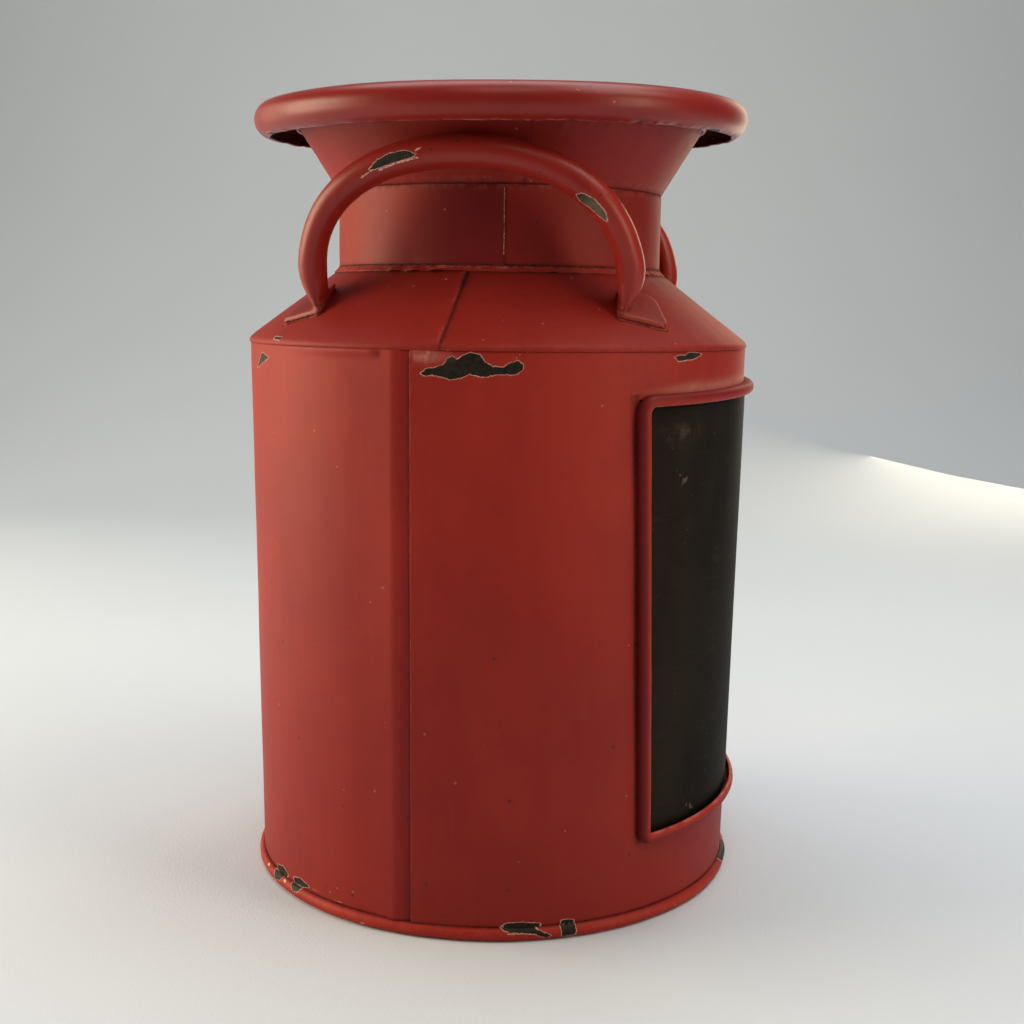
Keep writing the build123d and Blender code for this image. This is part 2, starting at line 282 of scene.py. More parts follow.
def revolved(name, outline, angles, shape, marks, poles=False, sharp=50.0):
    """Turns an outline of (radius, height) round the axis, letting shape move each point.

    The outline is closed, or with poles it starts and ends on the axis.
    """
    outline = np.array(outline, float)
    n, m = len(outline), len(angles)
    az = np.repeat(angles[:, None], n, axis=1)
    r = np.repeat(outline[None, :, 0], m, axis=0)
    z = np.repeat(outline[None, :, 1], m, axis=0)
    r, z = shape(az, r, z)
    found = {k: np.broadcast_to(v, (m, n)).reshape(-1) for k, v in marks(az, r, z).items()}
    verts = np.stack([r * np.cos(np.radians(az)), r * np.sin(np.radians(az)), z], -1)
    faces = []
    for i in range(m):
        a, b = i * n, ((i + 1) % m) * n
        for j in range(n - 1 if poles else n):
            k = (j + 1) % n
            if poles and j == 0:
                faces.append((0, b + 1, a + 1))
            elif poles and k == n - 1:
                faces.append((a + j, b + j, n - 1))
            else:
                faces.append((a + j, b + j, b + k, a + k))
    obj = finish_mesh(name, verts.reshape(-1, 3), faces, found, sharp)
    if poles:
        edit(obj.data, lambda work: bmesh.ops.delete(
            work, geom=[v for v in work.verts if not v.link_faces], context="VERTS"))
    return obj


def place(obj, material, node):
    obj.data.materials.clear()
    obj.data.materials.append(material)
    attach(obj, "root")
    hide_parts(node)


# ---- materials

class Nodes:
    """Short calls for building a material's node tree."""

    def __init__(self, name):
        self.material = bpy.data.materials.new(name)
        self.material.use_nodes = True
        self.tree = self.material.node_tree
        self.tree.nodes.clear()
        self.object = self.add("ShaderNodeTexCoord").outputs["Object"]

    def add(self, kind, **settings):
        node = self.tree.nodes.new(kind)
        for key, value in settings.items():
            setattr(node, key, value)
        return node

    def put(self, socket, value):
        if isinstance(value, bpy.types.NodeSocket):
            self.tree.links.new(value, socket)
        elif isinstance(value, tuple) and len(value) == 3 and socket.type == "RGBA":
            socket.default_value = (*value, 1.0)
        else:
            socket.default_value = value

    def math(self, op, a, b=0.0, c=0.0, clamp=False):
        node = self.add("ShaderNodeMath", operation=op, use_clamp=clamp)
        for socket, value in zip(node.inputs, (a, b, c)):
            self.put(socket, value)
        return node.outputs[0]

    def mark(self, name):
        return self.add("ShaderNodeAttribute", attribute_name=name).outputs["Fac"]

    def spread(self, stretch, at=(0.0, 0.0, 0.0)):
        node = self.add("ShaderNodeMapping")
        self.put(node.inputs["Vector"], self.object)
        node.inputs["Scale"].default_value = stretch
        node.inputs["Location"].default_value = at
        return node.outputs[0]

    def texture(self, kind, vector, output, **settings):
        node = self.add(kind)
        self.put(node.inputs["Vector"], vector or self.object)
        for key, value in settings.items():
            node.inputs[key].default_value = value
        return node.outputs[output]

    def noise(self, scale, detail=3.0, rough=0.5, vector=None):
        return self.texture("ShaderNodeTexNoise", vector, "Fac",
                            Scale=scale, Detail=detail, Roughness=rough)

    def cells(self, scale, vector=None):
        return self.texture("ShaderNodeTexVoronoi", vector, "Distance", Scale=scale)

    def step(self, value, low, high, to_low=0.0, to_high=1.0):
        """to_low below low, to_high above high, smooth between."""
        node = self.add("ShaderNodeMapRange", interpolation_type="SMOOTHSTEP")
        for key, v in (
            ("Value", value), ("From Min", low), ("From Max", high),
            ("To Min", to_low), ("To Max", to_high),
        ):
            self.put(node.inputs[key], v)
        return node.outputs["Result"]

    def mix(self, share, a, b, kind="RGBA"):
        node = self.add("ShaderNodeMix", data_type=kind)
        first, out = (6, 2) if kind == "RGBA" else (2, 0)
        for socket, value in ((0, share), (first, a), (first + 1, b)):
            self.put(node.inputs[socket], value)
        return node.outputs[out]

    def layer(self, base, share, strength, tint):
        """tint laid over base, as far as share times strength says."""
        return self.mix(self.math("MULTIPLY", share, strength), base, tint)

    def under(self, value, low, high):
        """1 below low, 0 above high, smooth between."""
        return self.math("SUBTRACT", 1.0, self.step(value, low, high))

    def total(self, start, *terms):
        """start plus each value times its weight."""
        for value, weight in terms:
            start = self.math("MULTIPLY_ADD", value, weight, start)
        return start

    def finish(self, colour, rough, height, **constants):
        shader = self.add("ShaderNodeBsdfPrincipled")
        self.put(shader.inputs["Base Color"], colour)
        self.put(shader.inputs["Roughness"], rough)
        for key, value in constants.items():
            self.put(shader.inputs[key.replace("_", " ")], value)
        relief = self.add("ShaderNodeBump")
        relief.inputs["Strength"].default_value = 1.0
        relief.inputs["Distance"].default_value = 0.0001
        self.put(relief.inputs["Height"], height)
        self.put(shader.inputs["Normal"], relief.outputs["Normal"])
        out = self.add("ShaderNodeOutputMaterial")
        self.tree.links.new(shader.outputs[0], out.inputs["Surface"])
        return self.material


def red_enamel(name, dullness, gloss):
    """Satin red enamel brushed thinly over dark sheet, flaked to the metal at its chips, with
    painted shade, painted highlights and painted sheen laid into its colour.
    """
    n = Nodes(name)
    grime, dust = n.mark("grime"), n.mark("dust")
    cloud = n.noise(16.0, 4.0, 0.55)
    drift = n.noise(55.0, 4.0, 0.6, n.spread((1.0, 1.0, 0.35)))
    fine = n.noise(420.0, 3.0, 0.6)
    streak = n.noise(260.0, 2.0, 0.5, n.spread((1.0, 1.0, 0.06)))
    thin, full, deep_red = (0.285, 0.0165, 0.0094), (0.350, 0.0230, 0.0116), (0.135, 0.0060, 0.0075)
    shade_and_dirt, highlight_and_wear_tint, pale_dust_and_sheen = (0.030, 0.006, 0.005), (0.58, 0.22, 0.17), (0.46, 0.20, 0.165)

    colour = n.mix(n.step(cloud, 0.36, 0.66), thin, full)
    colour = n.layer(colour, n.step(drift, 0.45, 0.75), 0.26, (0.200, 0.0085, 0.0072))
    colour = n.layer(colour, n.step(streak, 0.5, 0.8), 0.14, (0.40, 0.040, 0.024))
    colour = n.layer(colour, n.step(fine, 0.55, 0.8), 0.22, (0.17, 0.008, 0.008))
    colour = n.mix(n.mark("deep"), colour, deep_red)
    # darker with dirt, and with painted shade in grooves, under lips and inside hollows
    colour = n.layer(colour, grime, n.step(fine, 0.25, 0.7, 0.55, 1.0), shade_and_dirt)
    # paler pink with wear at edges, and with painted highlights along lit edges, lips and seams
    highlight_and_wear_share = n.math("MULTIPLY", n.mark("rub"), n.step(n.noise(300.0, 4.0, 0.65), 0.42, 0.62))
    colour = n.layer(colour, highlight_and_wear_share, 0.70, highlight_and_wear_tint)
    # dust, and a painted sheen on bands along the wall's top edge and above the frame
    patchy = n.step(n.noise(200.0, 4.0, 0.65), 0.25, 0.6, 0.6, 1.0)
    colour = n.layer(colour, n.math("MULTIPLY", dust, patchy), 0.55, pale_dust_and_sheen)

    # stray specks of dust and tiny dark pits
    colour = n.layer(colour, n.under(n.cells(95.0), 0.035, 0.055), 0.30, (0.60, 0.30, 0.22))
    pits = n.cells(70.0, n.spread((1, 1, 1), (0.3, 0.1, 0.2)))
    colour = n.layer(colour, n.under(pits, 0.03, 0.055), 0.8, (0.05, 0.012, 0.010))

    # bare inside, where little paint reached
    tin = n.mix(n.step(n.noise(120.0, 4.0), 0.35, 0.7), (0.10, 0.085, 0.075), (0.21, 0.17, 0.15))
    missed = n.math("MULTIPLY", n.mark("bare"), n.step(n.noise(60.0, 5.0, 0.7), 0.30, 0.62))
    colour = n.mix(missed, colour, tin)

    # pale scratches, which break up along their length
    broken = n.math("MULTIPLY_ADD", n.noise(900.0, 3.0, 0.7), 0.9, -0.38)
    nick = n.under(n.math("ADD", n.mark("pale"), broken), -0.06, 0.10)
    colour = n.mix(nick, colour, (0.62, 0.36, 0.28))

    # chips: dark oxidised sheet with a thin broken edge of primer
    ragged = n.math("MULTIPLY_ADD", n.noise(700.0, 4.0, 0.65), 1.3, -0.65)
    edge = n.math("ADD", n.mark("chip"), ragged)
    gone = n.under(edge, -0.05, 0.05)
    torn = n.under(n.math("ABSOLUTE", n.math("SUBTRACT", edge, 0.16)), 0.07, 0.20)
    rust = n.step(n.noise(500.0, 5.0, 0.7), 0.35, 0.7)
    metal = n.mix(rust, (0.006, 0.0045, 0.003), (0.026, 0.018, 0.009))
    metal = n.layer(metal, dust, n.step(fine, 0.2, 0.7, 0.5, 1.0), (0.115, 0.085, 0.045))
    colour = n.layer(colour, torn, n.step(fine, 0.35, 0.6, 0.35, 0.85), (0.62, 0.38, 0.31))
    colour = n.mix(gone, colour, metal)

    rough = n.total(dullness, (cloud, 0.12), (fine, 0.12), (grime, 0.25), (missed, 0.2))
    peel, grit = n.noise(750.0, 2.0, 0.5), n.noise(2600.0, 2.0, 0.5)
    height = n.total(0.0, (peel, 0.22), (grit, 0.05), (drift, 0.35), (streak, 0.10),
                     (torn, 0.35), (gone, -1.6), (nick, -0.25))
    return n.finish(colour, n.mix(gone, rough, 0.55, "FLOAT"), height, Specular_IOR_Level=gloss)


def chalk_paint():
    """Matt blackboard paint, rolled on, with old chalk wiped thin."""
    n = Nodes("chalkboard_paint")
    cloud = n.noise(22.0, 5.0, 0.6, n.spread((1, 1, 0.6)))
    wipe = n.noise(120.0, 4.0, 0.6, n.spread((0.5, 0.5, 2.2)))
    stipple = n.noise(1500.0, 3.0, 0.6)
    colour = n.mix(n.step(cloud, 0.35, 0.7), (0.006, 0.0045, 0.003), (0.016, 0.0125, 0.009))
    colour = n.layer(colour, n.step(wipe, 0.55, 0.85), 0.35, (0.050, 0.038, 0.030))
    broken = n.math("MULTIPLY_ADD", n.noise(1100.0, 3.0, 0.7), 1.2, -0.5)
    line = n.under(n.math("ADD", n.mark("pale"), broken), -0.1, 0.25)
    colour = n.layer(colour, line, 0.5, (0.16, 0.12, 0.10))
    smear = n.math("MULTIPLY", n.mark("rub"), n.step(n.noise(240.0, 5.0, 0.7), 0.40, 0.75))
    colour = n.layer(colour, smear, 0.6, (0.12, 0.085, 0.06))
    colour = n.layer(colour, n.under(n.cells(150.0), 0.04, 0.07), 0.25, (0.16, 0.13, 0.11))
    # painted shade near the frame's edges
    colour = n.mix(n.mark("grime"), colour, (0.004, 0.003, 0.002))
    rough, height = n.total(0.52, (cloud, 0.20)), n.total(0.0, (stipple, 0.16), (wipe, 0.10))
    return n.finish(colour, rough, height, Specular_IOR_Level=0.05)


RED = red_enamel("red_enamel", 0.42, 0.19)
SMOOTH_RED = red_enamel("smooth_red_enamel", 0.24, 0.30)
BOARD = chalk_paint()


# ---- wear that can be seen

# Outlines are (angle, height). The large chip below the shoulder's edge, with its lobes:
LARGE_CHIP = [
    (175.3, 205.2), (176.6, 206.9), (178.5, 207.4), (180.0, 208.4), (180.8, 210.6), (181.7, 211.3),
    (182.6, 210.2), (183.8, 211.7), (185.5, 212.6), (187.0, 211.9), (188.1, 209.6), (189.6, 208.0),
    (191.6, 207.8), (193.1, 209.3), (194.6, 210.1), (195.6, 208.6), (195.4, 207.0), (194.6, 205.8),
    (192.9, 205.3), (190.9, 205.6), (189.4, 205.0), (188.1, 204.5), (186.6, 204.9), (185.3, 205.5),
    (184.2, 204.7), (183.1, 203.8), (181.2, 203.4), (179.4, 204.3), (177.8, 204.9), (176.2, 204.5),
]
EDGE_CHIPS = [
    [(127.1, 209.9), (131.3, 208.2), (126.9, 205.8), (122.6, 203.8), (124.4, 206.1)],
    [(229.6, 211.2), (230.8, 209.7), (232.6, 210.1), (235.0, 210.3), (238.4, 212.1), (236.0, 212.7),
     (233.7, 212.7), (233.0, 211.8), (231.1, 211.9)],
    [(128.1, 6.6), (132.6, 8.4), (135.6, 6.3), (133.8, 4.9), (129.4, 4.9)],
    [(137.6, 7.2), (141.1, 8.4), (144.6, 6.9), (141.8, 5.4), (138.4, 5.4)],
    [(192.6, 5.3), (193.8, 6.7), (196.8, 7.0), (201.2, 6.2), (201.4, 5.0), (194.7, 4.8)],
    [(205.8, 6.6), (208.6, 6.4), (208.8, 5.0), (205.9, 5.0)],
    # out of the first view, on the sides that turn away
    [(12.0, 211.8), (15.5, 212.6), (17.0, 209.5), (13.8, 208.6)],
    [(52.0, 6.5), (56.5, 7.6), (59.0, 5.2), (52.5, 5.0)],
    [(77.0, 212.4), (83.0, 212.8), (81.5, 210.2), (78.4, 209.8)],
    [(318.0, 6.8), (322.0, 7.3), (324.5, 5.0), (318.5, 5.0)],
]
BEAD_CHIPS = [
    [(128.6, 5.2), (133.4, 5.2), (133.0, 3.4), (130.4, 2.2)],
    [(137.6, 5.2), (142.0, 5.2), (141.0, 3.4), (139.2, 2.9)],
    [(192.6, 5.3), (199.6, 5.3), (203.4, 2.2), (202.2, 1.2), (200.0, 3.2), (194.2, 4.1)],
    [(205.6, 5.2), (208.9, 5.2), (208.8, 1.4), (205.8, 1.0)],
    [(262.0, 5.3), (276.0, 5.3), (273.0, 2.2), (264.0, 2.6)],
    [(51.0, 5.2), (60.0, 5.2), (56.0, 2.6)],
    [(317.0, 5.2), (326.0, 5.2), (322.0, 1.8)],
]
BODY_SCRATCHES = [
    (0.34, [(180.3, 7.8), (180.5, 7.9)]),
    (0.42, [(220.1, 107.8), (220.3, 108.1)]),
    (0.30, [(228.3, 30.8), (228.5, 30.9)]),
    (0.10, [(213.1, 42.6), (216.8, 41.0), (220.8, 36.8)]),
    (0.16, [(144.3, 7.1), (149.9, 6.4), (156.1, 5.8), (163.5, 5.6)]),
    (0.16, [(193.4, 209.9), (194.9, 212.1), (196.5, 213.2)]),
]

# on a handle: (degrees along its arch, mm round its tube)
HANDLE_CHIPS = {
    "left": [
        [(99.1, 1.9), (102.6, 3.9), (107.2, 4.4), (112.0, 3.8), (115.6, 2.1), (112.6, 1.3),
         (106.0, 1.2), (100.0, 1.3)],
        [(28.2, 0.0), (31.7, 1.7), (37.2, 1.9), (42.4, 1.0), (43.2, -1.0), (40.2, -2.7),
         (36.7, -1.7), (31.2, -0.9)],
    ],
    "right": [
        [(66.0, 3.4), (72.0, 4.4), (75.5, 3.0), (70.0, 2.2)],
        [(136.0, -1.2), (141.0, 0.2), (143.0, -1.8), (138.0, -2.6)],
    ],
}
HANDLE_SCRATCHES = {
    "left": [[(97.4, 3.6), (99.2, 3.0)], [(114.6, 1.7), (119.8, 1.3)], [(99.0, 0.6), (113.0, 0.6)]],
    "right": [],
}


# ---- body, base, shoulder, neck

def body_shape(az, r, z):
    waves = 0.09 * ripple(az, z, 70.0, 3) + 0.03 * ripple(az, z, 22.0, 5)
    crest = 1.0 + 0.12 * ripple(0 * az, z, 60.0, 8)
    r = r + waves + joggle(az, BODY_SEAM, crest, 0.85)
    # the top edge rolls outwards, up to where the sheet flattens for its seam
    rolled = ridge(z, 212.2, 1.7) * unit((away(az, 165.6) + 26.0) / 18.0)
    r = r + 0.85 * rolled * unit(-away(az, 165.9) / 0.6)
    return r + bump(az, z, 203.0, 171.0, 5.0, -0.10) + bump(az, z, 151.0, 62.0, 9.0, -0.12), z


def beside_frame(az, r, z):
    """Where a point on the wall is in the frame's own flat outline: (across, height)."""
    x = r * np.cos(np.radians(az)) * FRONT_R / body_r(z)
    up = z - FRAME_MIDDLE
    c, s = math.cos(FRAME_TURN), math.sin(FRAME_TURN)
    x, up = x * c + up * s, -x * s + up * c
    across = FRONT_R * np.arcsin(np.clip(x / FRONT_R, -1, 1))
    return np.where(np.sin(np.radians(az)) < 0, across, NOT_ON_FRONT), up + FRAME_MIDDLE


def body_marks(az, r, z):
    outside = r > body_r(z) - 0.62
    d = np.radians(away(az, BODY_SEAM)) * WALL_R
    # painted highlight on the seam's raised edge, and painted shadow in the dip just before it
    seam_edge = ridge(d, -0.10, 0.25) * 0.22
    seam_shadow = ridge(d, -0.85, 0.45) * 0.8
    # painted shade in the groove where the wall meets the bead
    foot = ridge(z, 5.0, 0.55)
    # painted highlight along the wall's top edge just past the seam
    streak = ridge(z, 211.6, 2.2) * ridge(d, 4.6, 3.0)
    top_edge_sheen = ridge(z, 211.2, 2.0) * unit((d - 0.6) / 1.0) * unit((17.0 - d) / 9.0)
    # painted shade where the rolled top edge ends
    notch = ridge(away(az, 166.3), 0, 0.5) * ridge(z, 211.6, 1.4) * 0.8
    across, up = beside_frame(az, r, z)
    side = np.abs(across) - FRAME_SIDE
    level = (up > FRAME_LOW - 1) & (up < FRAME_HIGH + 0.5)
    # painted shadow beside the frame's sides and along its foot, and a painted sheen on the wall
    # above its top bar
    beside = ridge(np.maximum(side, 0), 0, 1.5) * level * (side > -2) * 0.90
    below = ridge(up, FRAME_LOW, 1.0) * (side < 0) * (up < FRAME_LOW + 1) * 0.5
    above, taper = up - FRAME_HIGH, unit(-side / 26.0)
    pale_dust_and_sheen = ridge(above, 1.2, 0.8 + 1.5 * taper) * taper * (above > -1)
    return {
        "chip": flaked(outside, az, z, [LARGE_CHIP] + EDGE_CHIPS),
        "pale": scratched(outside, az, z, BODY_SCRATCHES),
        "rub": outside * unit(seam_edge + streak * 1.2),
        "grime": np.where(outside, unit(seam_shadow + foot + beside + below + notch), 0.25),
        "dust": outside * unit(pale_dust_and_sheen + top_edge_sheen * 0.8), "bare": ~outside,
        "deep": 0.12 + 0.30 * unit((185.0 - z) / 110.0),
    }


def make_body():
    rows = list(np.arange(5.2, 12.0, 0.8)) + list(np.arange(12.0, 198.0, 3.0))
    rows += list(np.arange(198.0, 213.0, 0.6))
    outline = [(body_r(1.6) - 0.15, 1.6)] + [(body_r(h), h) for h in rows]
    top = body_r(213.2)
    outline += [(body_r(213.0) - 0.03, 213.05), (top - 0.2, 213.2), (top - 0.55, 213.2)]
    inner = list(np.arange(212.6, 2.0, -10.0)) + [1.6]
    outline += [(body_r(h) - SHEET, h) for h in inner]
    angles = columns(1.0, (182.0, 15.0, 0.3), (222.5, 1.5, 0.5), (234.0, 5.5, 0.4),
                     (127.0, 5.5, 0.4), (139.0, 4.0, 0.4), (204.5, 6.0, 0.4),
                     extra=lap_columns(BODY_SEAM))
    return revolved("body_shell", outline, angles, body_shape, body_marks)


def bead_shape(az, r, z):
    rim = unit((r - 94.0) / 3.0)
    r = r + rim * (0.10 * ripple(az, z * 0, 40.0, 21) + 0.05 * ripple(az, z * 2, 9.0, 22))
    flat = unit(z / 1.2)
    return r, z + rim * flat * 0.10 * ripple(az, z * 0, 55.0, 23)


def bead_marks(az, r, z):
    on_rim = r > 96.0
    chip = flaked(on_rim, az, z, BEAD_CHIPS)
    nicks = [(0.45, [(124.1, 4.4), (124.9, 4.3)]), (0.4, [(134.6, 4.4), (135.6, 4.1)]),
             (0.35, [(161.2, 1.7), (162.6, 1.6)]), (0.14, [(193.8, 3.6), (199.1, 3.3)])]
    pale = scratched(on_rim, az, z, nicks)
    # a faint painted highlight on the bead's crest, and painted shade in the groove above it
    crest = ridge(z, 3.2, 1.0) * on_rim
    crevice = unit((z - 4.5) / 0.8) * on_rim
    under = np.where((r < 95.6) & (z < 3.4), 1.0, 0.0)
    return {"chip": chip, "pale": pale, "rub": crest * 0.08, "grime": crevice * 0.9,
            "bare": under * 0.7}


def make_base():
    outline = [(0.0, 3.0), (1.0, 3.0)] + run((20.0, 3.0), (94.2, 3.0), 12)
    outline += [(94.7, 2.85), (94.95, 2.5), (95.05, 1.2), (95.2, 0.45),
                (95.5, 0.06), (95.9, 0.0), (97.0, 0.0)]
    outline += arc((96.5, 2.6), 2.6, -72, 68, 14)
    outline += [(97.15, 5.05), (97.02, 4.6), (97.0, 1.7), (96.2, 1.7), (96.15, 3.2), (95.6, 3.75)]
    outline += run((95.0, 3.8), (20.0, 3.8), 12) + [(1.0, 3.8), (0.0, 3.8)]
    angles = columns(1.0, (131.0, 6.0, 0.4), (140.0, 4.0, 0.4), (200.5, 10.0, 0.4),
                     (269.0, 9.0, 0.5))
    return revolved("base_pan_shell", outline, angles, bead_shape, bead_marks, poles=True)


def shoulder_seam_at(r):
    """The shoulder's lap seam leans a little as it climbs."""
    share = (SHOULDER_EDGE[0] - r) / (SHOULDER_EDGE[0] - SHOULDER_TOP[0])
    return SHOULDER_SEAM + SHOULDER_SEAM_LEAN * unit(share)


def shoulder_shape(az, r, z):
    seam = shoulder_seam_at(r)
    on_cone = unit((z - 214.2) / 2.0)
    lift = lap(az, seam, 7.0, 0.75) * on_cone * unit((r - 65.0) / 2.0)
    waves = 0.16 * ripple(az, r, 42.0, 31) + 0.06 * ripple(az, r, 15.0, 32)
    z = z + on_cone * (lift * 0.8 + waves * 0.7)
    edge = ridge(z, 214.6, 2.6) * (r > 98.0)
    return r + on_cone * lift * 0.55 + edge * 0.12 * ripple(az, 0 * z, 30.0, 33), z


def shoulder_marks(az, r, z):
    seam = shoulder_seam_at(r)
    d = np.radians(away(az, seam)) * r
    outside = ((z > shoulder_z(r) - 0.45) & (z > 212.0)) | (r > 98.75)
    line = ridge(d, 0.5, 0.6)
    lip = ridge(d, -0.45, 0.4)
    blotch = np.exp(-((d - 0.8) / 1.3) ** 2 - ((r - 71.0) / 3.4) ** 2)
    foot = ridge(r, 66.2, 1.0)
    edge = ridge(r, 100.0, 0.7)
    chips = [
        [(134.0, 99.0), (137.6, 99.2), (137.4, 99.9), (134.2, 99.8)],
        [(38.0, 97.0), (41.0, 97.4), (40.0, 100.2), (37.4, 100.0)],
        [(291.0, 98.0), (295.5, 98.4), (295.0, 100.3), (291.4, 100.3)],
    ]
    scrapes = [
        (0.14, [(171.0, 69.5), (174.5, 70.6), (178.0, 70.2)]),
        (0.10, [(181.0, 66.9), (186.0, 66.8), (191.0, 66.9)]),
        (0.12, [(205.0, 84.0), (208.0, 88.5)]),
    ]
    chip = flaked(outside, az, r, chips, 90.0)
    pale = scratched(outside, az, r, scrapes, 80.0)
    # painted highlights on the seam's lip and on the rounded outer edge
    rub = unit(lip * 0.22 + edge * 0.05)
    grime = unit(line * 0.8 + blotch + foot * 0.7)
    inside = ~outside
    return {
        "chip": chip, "pale": pale,
        "rub": np.where(inside, 0.0, rub), "grime": np.where(inside, 0.3, grime),
        "bare": np.where(inside, 1.0, 0.0), "deep": unit(0.58 - (r - 66.0) / 170.0),
    }


def make_shoulder():
    flange = body_r(205.0) - SHEET - 0.08
    inside = flange - SHEET
    outline = run((NECK_R, 242.0), (98.3, shoulder_z(98.3)), 34)
    outline += [(98.3, shoulder_z(98.3)), (98.95, 216.05), (99.5, 215.62), (99.95, 215.15),
                (100.3, 214.65), (100.47, 214.1), (100.45, 213.6), (100.3, 213.25), (100.0, 213.2)]
    outline += [(98.9, 213.2), (flange, 213.1)] + run((flange, 212.0), (flange, 205.0), 3)
    outline += [(flange, 205.0), (inside, 205.0), (inside, 210.0), (inside, 215.0)]
    outline += run((inside - 0.4, 215.4), (NECK_R, 240.9), 14) + [(NECK_R, 240.9)]
    seam = [SHOULDER_SEAM + d for d in np.arange(-0.5, 2.3, 0.1)]
    angles = columns(1.0, (180.0, 9.0, 0.35), (136.0, 3.0, 0.4), extra=seam)
    return revolved("shoulder_shell", outline, angles, shoulder_shape, shoulder_marks)


def neck_shape(az, r, z):
    r = r + lap(az, NECK_SEAM, 6.0, 0.45) + 0.06 * ripple(az, z, 30.0, 41)
    dents = bump(az, z, 161.5, 243.0, 3.0, -0.35, NECK_R)
    dents = dents + bump(az, z, 168.0, 262.0, 8.0, -0.12, NECK_R)
    return r + dents, z


def neck_marks(az, r, z):
    outside = r > NECK_R - 0.5
    d = np.radians(away(az, NECK_SEAM)) * NECK_R
    line = ridge(d, 0.35, 0.5)
    foot = ridge(z, 242.6, 0.9)
    top = ridge(z, 271.7, 0.5)
    scrapes = [
        (0.16, [(192.0, 246.5), (192.05, 259.0), (191.95, 270.5)]),
        (0.42, [(192.2, 248.5), (192.5, 248.2)]),
        (0.20, [(168.0, 271.0), (176.0, 271.1), (183.0, 270.9)]),
    ]
    pale = scratched(outside, az, z, scrapes, 64.6)
    # painted highlight on the neck's top edge
    rub = np.where(outside, ridge(z, 270.9, 0.5) * 0.6, 0.0)
    grime = np.where(outside, unit(line * 0.55 + foot * 0.7 + top * 0.6), 0.35)
    # the sheet's edge before the seam took less paint than the edge laid over it
    before = away(az, NECK_SEAM)
    deep = 0.42 + 0.40 * (before < 0) * unit((before + 34.0) / 16.0)
    return {"pale": pale, "rub": rub, "grime": grime, "deep": deep,
            "bare": np.where(outside, 0.0, 0.55)}


def make_neck():
    outline = [(NECK_R - 0.1, NECK_LOW)] + run((NECK_R, NECK_LOW + 0.3), (NECK_R, 271.4), 26)
    outline += [(NECK_R, 271.4), (NECK_R - 0.06, 271.75), (NECK_R - 0.3, 271.95),
                (NECK_R - 0.6, 271.97)]
    outline += run((NECK_BORE + 0.04, 271.9), (NECK_BORE, NECK_LOW), 6) + [(NECK_BORE, NECK_LOW)]
    angles = columns(1.2, (192.0, 7.0, 0.4), extra=lap_columns(NECK_SEAM))
    return revolved("neck_shell", outline, angles, neck_shape, neck_marks)


def solder_shape(az, r, z):
    out = unit((r - 64.9) / 1.6)
    lump = 0.22 * ripple(az, 0 * z, 11.0, 51) + 0.10 * ripple(az, 0 * z, 4.0, 52)
    for at, width, height in ((172.0, 3.5, 0.55), (177.0, 2.5, 0.45)):
        lump = lump + bump(az, 0 * z, at, 0.0, width, height, 65.0)
    return r + out * np.maximum(lump, -0.3), z + out * 0.6 * np.maximum(lump, -0.3)


def solder_marks(az, r, z):
    crest = unit((z - 241.6) / 0.8) * unit((r - 65.0) / 0.5)
    crack = ridge(r, 64.8, 0.35)
    # a painted highlight along the bead's crest, strongest round 190 and 173 degrees
    bright = ridge(away(az, 190.0), 0, 9.0) + ridge(away(az, 173.0), 0, 6.0)
    return {"rub": unit(crest * (0.25 + bright)), "grime": unit(crack + 0.25)}


def make_neck_solder():
    outline = [(64.62, 241.6), (64.62, 243.35), (64.75, 243.3), (64.95, 242.9), (65.2, 242.45),
               (65.6, 241.95), (66.05, 241.45), (66.45, 240.95), (66.5, 240.7), (65.6, 241.1)]
    return revolved("neck_solder_bead", outline, columns(0.7), solder_shape, solder_marks,
                    sharp=80.0)


def lean(az, r, z):
    """Height added because the mouth sits askew: the neck is level, the rim leans to the front."""
    share = unit((r - FLARE_LOW[0]) / (FLARE_TOP[0] - FLARE_LOW[0])) * (z > FLARE_LOW[1])
    towards = r * np.cos(np.radians(az - LEAN_AZ))
    return share * (LEAN_RISE - towards * math.tan(math.radians(LEAN)))


def flare_shape(az, r, z):
    share = unit((z - FLARE_LOW[1]) / 30.0)
    r = r + lap(az, FLARE_SEAM, 6.0, 0.45) * unit(z - 272.4) + 0.08 * ripple(az, z, 32.0, 61)
    lumps = (
        (207, 292, 1.4, 0.5), (214, 294, 1.1, 0.6), (220, 293.5, 1.6, 0.7), (226, 295, 1.2, 0.6),
        (231, 294.5, 1.5, 0.8), (236, 295, 1.1, 0.5), (160, 296, 1.5, 0.5), (75, 295, 1.4, 0.6),
        (20, 294.5, 1.2, 0.5), (318, 295, 1.6, 0.7),
    )
    for a, h, w, t in lumps:
        r = r + bump(az, z, a, h, w, t, 80.0)
    return r + share * 0.05 * ripple(az, z, 9.0, 62), z + lean(az, r, z)


def flare_marks(az, r, z):
    z = z - lean(az, r, z)
    wall = FLARE_LOW[0] + (z - FLARE_LOW[1]) * (FLARE_TOP[0] - FLARE_LOW[0]) / 30.3
    outside = r > wall - 0.35
    d = np.radians(away(az, FLARE_SEAM)) * r
    line = ridge(d, 0.35, 0.5)
    foot = ridge(z, 272.3, 0.5)
    # painted shade under the rim's curl
    high = unit((z - 293.0) / 4.0)
    scrapes = [(0.20, [(170.0, 273.6), (178.0, 273.5), (186.0, 273.7)])]
    pale = scratched(outside, az, z, scrapes, 65.0)
    grime = unit(line * 0.5 + foot * 0.5 + high * 0.5)
    # painted highlight just above the flare's foot
    rub = ridge(z, 273.4, 0.6) * 0.22
    return {
        "pale": pale, "rub": np.where(outside, rub, 0.1),
        "grime": np.where(outside, grime, 0.1), "bare": np.where(outside, 0.0, 0.1),
        "deep": 0.40,
    }


